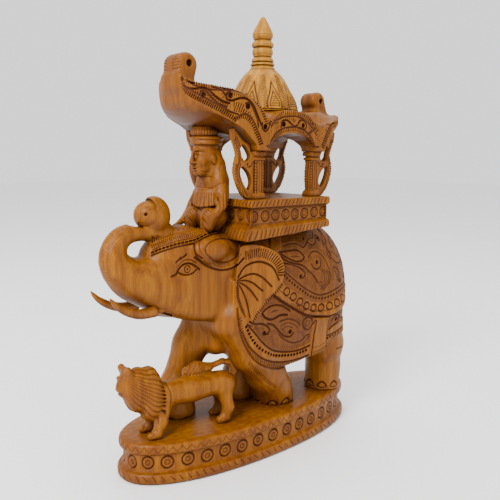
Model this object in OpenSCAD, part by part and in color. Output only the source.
// Carved wooden elephant with a canopied howdah, a mahout and a lion on an oval plinth.
// The elephant walks toward -Y, its left side is +X, the plinth stands on z = 0.

/* [Plinth] */
// Half length of the oval plinth
plinth_a = 83; // [70:1:95]
// Half width of the oval plinth
plinth_b = 32; // [26:1:38]
// Plinth height
plinth_h = 22; // [16:1:28]
// Depth of the waist between the two lips
waist_in = 3.4; // [1:0.2:5]

/* [Elephant] */
// Half width over the caparison
flank_x = 29; // [25:0.5:32]
// Height of the flat seat cut on the back
seat_z = 130; // [126:1:134]
// Rearmost reach of the rump
rump_y = 75; // [70:1:78]
// Radius of the ball curled in the trunk
ball_r = 7.3; // [5:0.1:9]
// Radius of the feet
foot_r = 11.8; // [9:0.2:13]
// Thickest radius of a tusk
tusk_r = 2.9; // [2:0.1:4]

/* [Lion] */
// Radius of the lion's body
lion_r = 7.4; // [6:0.2:9]

/* [Mahout] */
// Radius of the mahout's head
head_r = 8.4; // [7:0.2:9.5]

/* [Howdah] */
// Half width of the tray
tray_x = 28.3; // [24:0.5:31]
// Front edge of the tray
tray_front = -17.6; // [-20:0.2:-14]
// Rear edge of the tray
tray_rear = 44; // [40:0.5:48]
// Height of the tray
tray_h = 18; // [14:0.5:22]
// Post spacing either side of the middle plane
post_x = 20.2; // [18:0.2:22]
// Post spacing fore and aft of the dome axis
post_dy = 21.4; // [18:0.2:24]
// Side of a square post
post_w = 6; // [4:0.2:8]
// Height of a post
post_h = 26; // [22:0.5:30]

/* [Canopy] */
// Half width of the canopy
roof_x = 27; // [24:0.5:30]
// Top of the canopy under the dome
roof_z = 196.4; // [192:0.2:200]
// Apex of the arched openings
arch_z = 184; // [180:0.5:187]
// Radius of the dome at its base
dome_r = 20.8; // [17:0.2:24]
// Top of the dome, where the finial stands
dome_top = 224.2; // [218:0.2:230]
// Overall height to the tip of the finial
total_h = 250; // [240:1:260]

/* [Joinery] */
// Radius of the foot and howdah dowels
dowel_r = 2.5; // [1.5:0.1:3]
// Radius of the small pins under lion and mahout
pin_r = 1.2; // [0.8:0.1:1.6]
// Radius of the turned tenons on the posts
tenon_r = 1.9; // [1:0.1:2.4]
// Play between a tenon and its socket
fit = 0.05; // [0.02:0.01:0.2]

/* [View] */
// Which sub-part to draw

/* [Hidden] */
$fn = 24;
wood = [0.62, 0.40, 0.16];
pale = [0.74, 0.50, 0.24];
dark = [0.45, 0.26, 0.09];
axis_y = 14;
tray_top = seat_z + tray_h;
post_top = tray_top + post_h;
// centres of the four feet: far fore, near fore, far hind, near hind
feet = [[-13, -40], [8, 19], [-13, 5], [10, 60]];
lion_feet = [[9.5, -66], [-1.5, -65], [15.5, -25], [4, -22]];
howdah_pegs = [-4, 31];
mahout_y = -25;
tusk_root = [9.4, -62, 92];

// ---------- shaping helpers ----------

module as_one_mesh() {
    resize([0, 0, 0]) children();
}

module blob(c, r) {
    translate(c) scale(r) sphere(1);
}

module limb(p) {
    for (i = [0 : len(p) - 2]) {
        hull() {
            translate([p[i][0], p[i][1], p[i][2]]) sphere(p[i][3]);
            translate([p[i + 1][0], p[i + 1][1], p[i + 1][2]]) sphere(p[i + 1][3]);
        }
    }
}

function oval(a, b, z, n = 2.2, m = 72) = [
    for (i = [0 : m - 1])
        let (c = cos(360 * i / m), s = sin(360 * i / m))
        [b * sign(s) * pow(abs(s), 2 / n), a * sign(c) * pow(abs(c), 2 / n), z]
];

function box_ring(x, y0, y1, z) = [[x, y0, z], [x, y1, z], [-x, y1, z], [-x, y0, z]];

module loft(rings) {
    n = len(rings[0]);
    m = len(rings);
    polyhedron(
        points = [for (r = rings) each r],
        faces = concat(
            [[for (i = [0 : n - 1]) i]],
            [for (k = [0 : m - 2]) for (i = [0 : n - 1])
                [k * n + i, (k + 1) * n + i, (k + 1) * n + (i + 1) % n, k * n + (i + 1) % n]],
            [[for (i = [n - 1 : -1 : 0]) (m - 1) * n + i]]
        )
    );
}

module peg(x, y, z0, z1, r) {
    translate([x, y, z0]) cylinder(h = z1 - z0, r = r, $fn = 32);
}

module socket(x, y, z0, z1, r) {
    peg(x, y, z0, z1, r + fit);
}

// ---------- plinth ----------

plinth_steps = [[0, 1.4], [1.4, 0.2], [3.4, 0], [5.6, 0.8], [6.6, waist_in], [15.6, waist_in],
                [16.6, 1.6], [18.4, 1], [20.6, 1.2], [plinth_h, 2.2]];

module plinth() {
    color(wood)
    difference() {
        loft([for (s = plinth_steps) oval(plinth_a - s[1], plinth_b - s[1], s[0])]);
        for (f = feet) socket(f[0], f[1], plinth_h - 8, plinth_h + 1, dowel_r);
        for (i = [0, 3]) socket(lion_feet[i][0], lion_feet[i][1], plinth_h - 6, plinth_h + 1, pin_r);
    }
}

// ---------- elephant ----------

module fore_and_hind_legs() {
    limb([[-11, -24, 84, 15], [-12, -35, 58, 10], [-13, -39, 36, 9.6], [-13, -40, 25, foot_r]]);
    limb([[13, -16, 80, 15], [14, -5, 60, 13], [11.5, 9, 42, 11.4], [9, 16, 32, 11.2], [8, 19, 25, foot_r + 0.6]]);
    limb([[-12, 34, 78, 17], [-13, 17, 52, 11], [-13, 8, 36, 9.6], [-13, 5, 25, foot_r]]);
    limb([[12, 48, 78, 18], [12, 58, 52, 12.5], [10, 60.5, 36, 10.6], [10, 60, 25, foot_r]]);
}

module elephant_trunk() {
    limb([[0, -56, 99, 14], [0, -71, 102, 11.5], [0, -80.5, 111, 9], [0, -84, 121, 7.4],
          [0, -80, 129, 6.6], [0, -72, 133.5, 6.2], [0, -62, 132.5, 6], [0, -56.5, 136, 5]]);
    blob([0, -65, 142], [ball_r, ball_r, ball_r]);
    blob([0, -64.5, 148], [2.4, 2.4, 3]);
}

module ear(s) {
    hull() {
        for (q = [[23, -15, 121], [19, -28, 108], [29, 0, 111], [30, 2, 103], [28.5, -6, 90],
                  [25, -19, 79.5], [19, -30, 90]]) {
            translate([s * q[0], q[1], q[2]]) sphere(1.8, $fn = 12);
        }
    }
}

module elephant_shape() {
    $fn = 22;
    difference() {
        union() {
            hull() {
                blob([0, -2, 92], [flank_x - 2, 24, 38]);
                blob([0, rump_y - 29, 90], [flank_x - 0.5, 29, 40]);
                blob([0, 22, 72], [flank_x, 30, 22]);
            }
            hull() {
                blob([0, -26, 84], [17, 17, 22]);
                blob([0, -22, 112], [20, 16, 18]);
            }
            hull() {
                blob([0, -42, 112], [17.5, 20, 20]);
                blob([0, -50, 97], [13, 18, 14]);
                blob([0, -30, 98], [15, 12, 22]);
            }
            for (s = [-1, 1]) {
                blob([s * 8, -37, 123], [9, 11, 10.5]);
                blob([s * 16.5, -31, 120.5], [6, 9.5, 9]);
                ear(s);
            }
            elephant_trunk();
            fore_and_hind_legs();
            limb([[0, rump_y - 4, 108, 4], [1, rump_y + 1.5, 92, 2.6], [1, rump_y + 1.5, 72, 2.2],
                  [1, rump_y, 60, 3]]);
        }
        translate([-60, -35, seat_z]) cube([120, 130, 40]);
        translate([-60, -120, plinth_h - 30]) cube([120, 240, 30]);
    }
}

module tusk_hole(s) {
    translate([s * tusk_root[0], tusk_root[1] - 8, tusk_root[2]])
        rotate([-90, 0, 0]) cylinder(h = 14, r = 1.6 + fit, $fn = 24);
}

module elephant() {
    color(wood)
    difference() {
        as_one_mesh() {
            difference() {
                elephant_shape();
                for (s = [-1, 1]) tusk_bed(s);
            }
        }
        for (f = feet) socket(f[0], f[1], plinth_h - 1, plinth_h + 8, dowel_r);
        for (y = howdah_pegs) socket(0, y, seat_z - 12, seat_z + 1, dowel_r);
        socket(0, mahout_y, seat_z - 8, seat_z + 1, pin_r);
        for (s = [-1, 1]) tusk_hole(s);
    }
}

// a flat-bottomed bed each tusk seats against
module tusk_bed(s) {
    translate([s * tusk_root[0], tusk_root[1] - 30, tusk_root[2]])
        rotate([-90, 0, 0]) cylinder(h = 24, r = tusk_r + 0.15, $fn = 24);
}

module tusk(s) {
    color(dark)
    union() {
        as_one_mesh() {
            intersection() {
                limb([[s * 9.4, -60, 92, tusk_r], [s * 9.6, -74, 91.6, tusk_r - 0.3],
                      [s * 10, -82, 93.6, 2.2], [s * 10.4, -88, 97.4, 1.6], [s * 10.6, -92, 102, 0.8]]);
                translate([-50, -120, 60]) cube([100, 120 + tusk_root[1] - 6.05, 60]);
            }
        }
        translate([s * tusk_root[0], tusk_root[1] - 7, tusk_root[2]])
            rotate([-90, 0, 0]) cylinder(h = 12, r = 1.6, $fn = 24);
    }
}

module tusk_left() {
    tusk(1);
}

module tusk_right() {
    tusk(-1);
}

// ---------- lion ----------

module lion_leg(hip, f, r) {
    limb([[hip[0], hip[1], hip[2], r], [f[0], f[1] + 2, 30, 3.2], [f[0], f[1], 24.6, 3.2]]);
    limb([[f[0], f[1], 24.4, 3], [f[0], f[1] - 3.4, 24, 2.6]]);
}

module lion() {
    $fn = 16;
    color(wood)
    difference() {
        as_one_mesh() {
            difference() {
                union() {
                    limb([[9, -25, 43, lion_r - 0.4], [7, -42, 43, lion_r - 1], [4, -60, 44, lion_r]]);
                    blob([3, -68, 45], [10, 11.5, 16]);
                    blob([2, -76, 50], [7.5, 7, 11]);
                    blob([1.6, -81, 51], [4.6, 4.6, 5.4]);
                    blob([1.6, -80.5, 60.5], [4.4, 3.4, 3.4]);
                    lion_leg([7, -60, 38], lion_feet[0], 4.6);
                    lion_leg([0, -60, 38], lion_feet[1], 4.6);
                    lion_leg([12, -25, 38], lion_feet[2], 5.6);
                    lion_leg([6, -25, 38], lion_feet[3], 5.6);
                    limb([[10, -18, 45, 2.4], [10, -15.5, 51, 2], [8.5, -19, 55.4, 1.9],
                          [7, -27, 54.4, 2], [6, -33, 53, 3.4], [5.4, -41, 52.6, 3.6]]);
                }
                translate([-40, -120, plinth_h - 30]) cube([80, 120, 30]);
            }
        }
        for (i = [0, 3]) socket(lion_feet[i][0], lion_feet[i][1], plinth_h - 1, plinth_h + 5, pin_r);
    }
}

// ---------- mahout ----------

module mahout() {
    $fn = 16;
    color(wood)
    difference() {
        as_one_mesh() {
            difference() {
                union() {
                    hull() {
                        blob([0, mahout_y, 137], [11.5, 6.8, 9]);
                        blob([0, mahout_y, 155], [9.5, 6.2, 6]);
                    }
                    limb([[0, mahout_y - 0.5, 158, 4.6], [0, mahout_y - 1, 164, 4.4]]);
                    blob([0, mahout_y - 2, 170.5], [head_r - 0.6, head_r, head_r + 1.4]);
                    blob([0, mahout_y - 7.5, 162.5], [4.6, 3.2, 5]);
                    blob([0, mahout_y - 1.5, 178.5], [head_r + 1.6, head_r + 1.2, 4.6]);
                    hull() {
                        blob([0, mahout_y - 2, 181], [7.4, 7.4, 3]);
                        blob([0, mahout_y - 4.5, 185.2], [5.6, 4.4, 3]);
                    }
                    for (s = [-1, 1]) {
                        limb([[s * 9, mahout_y, 156, 3.8], [s * 11.6, mahout_y - 9, 149, 3.4],
                              [s * 8.6, mahout_y - 18, 140.4, 2.8],
                              [s * 8, mahout_y - 21, 137.4, 2.8]]);
                        limb([[s * 7, mahout_y - 1, 137, 6], [s * 10.6, mahout_y - 9, 139, 5],
                              [s * 12.4, mahout_y - 8, 134, 4]]);
                    }
                }
                translate([-60, -80, seat_z - 30]) cube([120, 120, 30.02]);
                translate([-60, tray_front - 0.1, seat_z - 10]) cube([120, 60, 80]);
            }
        }
        socket(0, mahout_y, seat_z - 1, seat_z + 8, pin_r);
    }
}

// ---------- howdah ----------

tray_steps = [[0, 0.6], [0.8, 0], [3.6, 0], [4.6, 2], [tray_h - 4.6, 2], [tray_h - 3.6, 0],
              [tray_h - 0.8, 0], [tray_h, 0.6]];

module each_post_place() {
    for (sx = [-1, 1]) for (sy = [-1, 1]) {
        translate([sx * post_x, axis_y + sy * post_dy, 0]) children();
    }
}

module howdah_tray() {
    color(wood)
    difference() {
        loft([for (s = tray_steps)
            box_ring(tray_x - s[1], tray_front + s[1], tray_rear - s[1], seat_z + s[0])]);
        each_post_place() socket(0, 0, tray_top - 5, tray_top + 1, tenon_r);
        for (y = howdah_pegs) socket(0, y, seat_z - 1, seat_z + 12, dowel_r);
    }
}

// outline of the pierced scroll bracket, u outward from the post, w up from the tray
bracket_outline = [[-0.5, 0.1], [5.2, 0.1], [8.6, 3.5], [9.8, 8], [9, 12.4], [6, 16.4], [8, 19],
                   [11.6, 22], [14, 27], [14.6, 32], [14.2, 37.6], [10, 34.3], [6, 31.2],
                   [3.6, 29.2], [2.2, 25.6], [-0.5, 25.4]];

module scroll_bracket() {
    rotate([90, 0, 90])
    translate([0, 0, -2])
    linear_extrude(height = 4)
    difference() {
        polygon(bracket_outline);
        translate([4.2, 8]) scale([2.6, 5]) circle(1, $fn = 20);
        translate([7.4, 26]) scale([2.8, 3.8]) circle(1, $fn = 20);
    }
}

module post(sx, sy) {
    color(wood)
    translate([sx * post_x, axis_y + sy * post_dy, tray_top])
    union() {
        translate([-post_w / 2 - 0.9, -post_w / 2 - 0.9, 0]) cube([post_w + 1.8, post_w + 1.8, 2.4]);
        translate([-post_w / 2, -post_w / 2, 2]) cube([post_w, post_w, post_h - 4]);
        translate([-post_w / 2 - 0.6, -post_w / 2 - 0.6, post_h - 5]) cube([post_w + 1.2, post_w + 1.2, 1.6]);
        translate([-post_w / 2 - 1, -post_w / 2 - 1, post_h - 2.4]) cube([post_w + 2, post_w + 2, 2.4]);
        peg(0, 0, -4.8, 0.5, tenon_r);
        peg(0, 0, post_h - 0.5, post_h + 4.8, tenon_r);
        mirror([0, sy < 0 ? 1 : 0, 0]) translate([0, post_w / 2, 0]) scroll_bracket();
    }
}

module post_front_left() {
    post(1, -1);
}

module post_front_right() {
    post(-1, -1);
}

module post_rear_left() {
    post(1, 1);
}

module post_rear_right() {
    post(-1, 1);
}

// ---------- canopy ----------

// stations fore and aft of the dome axis: offset, half width, underside, side top, crown
roof_stations = [
    [-63.5, 8, 200, 208, 211], [-61.5, 14.5, 198.6, 208.6, 211.6], [-57.5, 20, 197, 208.4, 211.4],
    [-51, 23.4, 193.2, 206, 210], [-41, 25.4, 188.2, 201.6, 207], [-27, roof_x, 177.2, 194, 202],
    [-25.6, roof_x, 174, 193.4, 201.4], [-12, roof_x, 174, 194.6, roof_z],
    [0, roof_x, 174, 196.2, roof_z], [12, roof_x, 174, 194.6, roof_z],
    [25.6, roof_x, 174, 190.5, roof_z], [27, roof_x, 177.2, 190.2, roof_z],
    [41, 23, 188.2, 194.4, 198.6], [46.5, 18.6, 189.6, 196, 199.6], [50.5, 12.6, 190.4, 196.6, 199.6],
    [52.5, 6, 191, 196.6, 199]
];

function roof_section(s) = [
    [-s[1], axis_y + s[0], s[2]], [-s[1], axis_y + s[0], s[3]], [-s[1] * 0.6, axis_y + s[0], s[4]],
    [s[1] * 0.6, axis_y + s[0], s[4]], [s[1], axis_y + s[0], s[3]], [s[1], axis_y + s[0], s[2]]
];

module prow_curl(dy, z, r, w) {
    translate([-w, axis_y + dy, z]) rotate([0, 90, 0]) cylinder(h = 2 * w, r = r, $fn = 28);
}

// pointed arch opening, seen square-on: half span, springing height, apex height
module arch_cut(half, z0, z1, depth) {
    rotate([90, 0, 0])
    translate([0, 0, -depth])
    linear_extrude(height = 2 * depth)
    polygon([[-half, z0 - 3], [half, z0 - 3], [half, z0 + 2], [half * 0.86, z0 + 5.4],
             [half * 0.5, z1 - 1.8], [0, z1], [-half * 0.5, z1 - 1.8], [-half * 0.86, z0 + 5.4],
             [-half, z0 + 2]]);
}

module canopy() {
    color(wood)
    difference() {
        as_one_mesh() {
            difference() {
                union() {
                    loft([for (s = roof_stations) roof_section(s)]);
                    hull() {
                        prow_curl(-57, 217.6, 6.4, 8);
                        prow_curl(-59, 208, 4, 9.5);
                    }
                    hull() {
                        prow_curl(41.6, 205, 5.6, 6);
                        prow_curl(45, 198, 4.4, 8);
                    }
                }
                translate([0, axis_y, 0]) {
                    rotate([0, 0, 90]) arch_cut(post_dy - post_w / 2 - 1.4, post_top, arch_z, 50);
                    arch_cut(post_x - post_w / 2 - 1.4, post_top, arch_z, 90);
                }
                prow_curl(-56.6, 218.2, 1.7, 14);
                prow_curl(42.6, 205, 1.6, 12);
            }
        }
        each_post_place() socket(0, 0, post_top - 1, post_top + 5, tenon_r);
        socket(0, axis_y, roof_z - 8, roof_z + 10, 5);
    }
}

dome_profile = [[0, 0], [20.8, 0], [21, 1.4], [20.4, 4], [18.8, 8], [16.4, 12], [14.6, 15.4],
                [12.4, 19], [9.2, 22.6], [7.2, 24.6], [6.7, 25.6], [7, 26.6], [6.6, 27.8], [0, 27.8]];

module dome() {
    color(pale)
    difference() {
        union() {
            translate([0, axis_y, roof_z])
                rotate_extrude($fn = 48)
                polygon([for (q = dome_profile) [q[0] * dome_r / 20.8, q[1] * (dome_top - roof_z) / 27.8]]);
            peg(0, axis_y, roof_z - 7.8, roof_z + 1, 5);
        }
        socket(0, axis_y, dome_top - 8, dome_top + 1, tenon_r);
    }
}

finial_profile = [[0, 0], [5.6, 0], [6.4, 0.8], [6.2, 2.2], [4.8, 3.2], [5.6, 4.4], [6.1, 6],
                  [5.4, 7.8], [4.8, 8.4], [6.2, 9.2], [6.4, 10.4], [5.4, 11.6], [4.4, 12.6],
                  [5.6, 14.2], [6, 15.4], [5.4, 17.4], [3.6, 21], [1.6, 24.6], [0.5, 25.8], [0, 25.8]];

module finial() {
    color(pale)
    translate([0, axis_y, dome_top])
    union() {
        rotate_extrude($fn = 40)
            polygon([for (q = finial_profile) [q[0], q[1] * (total_h - dome_top) / 25.8]]);
        peg(0, 0, -7.8, 0.5, tenon_r);
    }
}

// ---------- dowels ----------

module foot_dowels() {
    color(pale)
    for (f = feet) peg(f[0], f[1], plinth_h - 7.8, plinth_h + 7.8, dowel_r);
}

module howdah_dowels() {
    color(pale)
    for (y = howdah_pegs) peg(0, y, seat_z - 11.8, seat_z + 11.8, dowel_r);
}

module lion_pins() {
    color(pale)
    for (i = [0, 3]) peg(lion_feet[i][0], lion_feet[i][1], plinth_h - 5.8, plinth_h + 4.8, pin_r);
}

module mahout_pin() {
    color(pale)
    peg(0, mahout_y, seat_z - 7.8, seat_z + 7.8, pin_r);
}

// ---------- selection ----------

plinth();
elephant();
tusk_left();
tusk_right();
lion();
mahout();
howdah_tray();
post_front_left();
post_front_right();
post_rear_left();
post_rear_right();
canopy();
dome();
finial();
foot_dowels();
howdah_dowels();
lion_pins();
mahout_pin();
